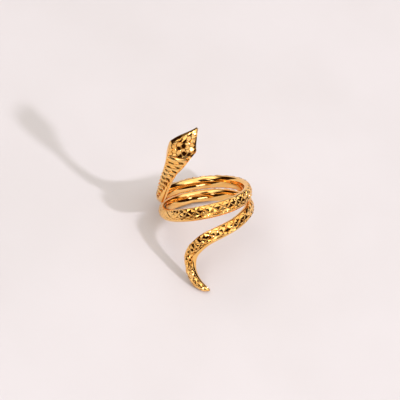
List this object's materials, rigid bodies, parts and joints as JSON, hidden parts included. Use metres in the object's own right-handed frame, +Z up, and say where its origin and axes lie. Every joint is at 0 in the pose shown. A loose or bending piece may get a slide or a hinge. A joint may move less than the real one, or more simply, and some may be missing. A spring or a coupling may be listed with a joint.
{
  "type": "snake ring",
  "caption": "Coiled snake finger ring: a scaled metal body wound around the finger, with a flat arrow-shaped head lying along the finger and a curled, pointed tail.",
  "frame": {"origin": "middle of the bounding box at the table, with the ring at rest on the curl of its tail and the lower edge of its lower coil", "axes": "+Z up from the table, +Y the way the finger's axis leans, from the tail's side to the head's, X across the finger"},
  "size_m": [0.021, 0.0266, 0.0294],
  "materials": {
    "gold": "polished yellow gold plating on cast brass: mirror-smooth inside, raised scales with darker grooves outside"
  },
  "bodies": {
    "root": {"snake_ring": "gold"}
  },
  "joints": []
}
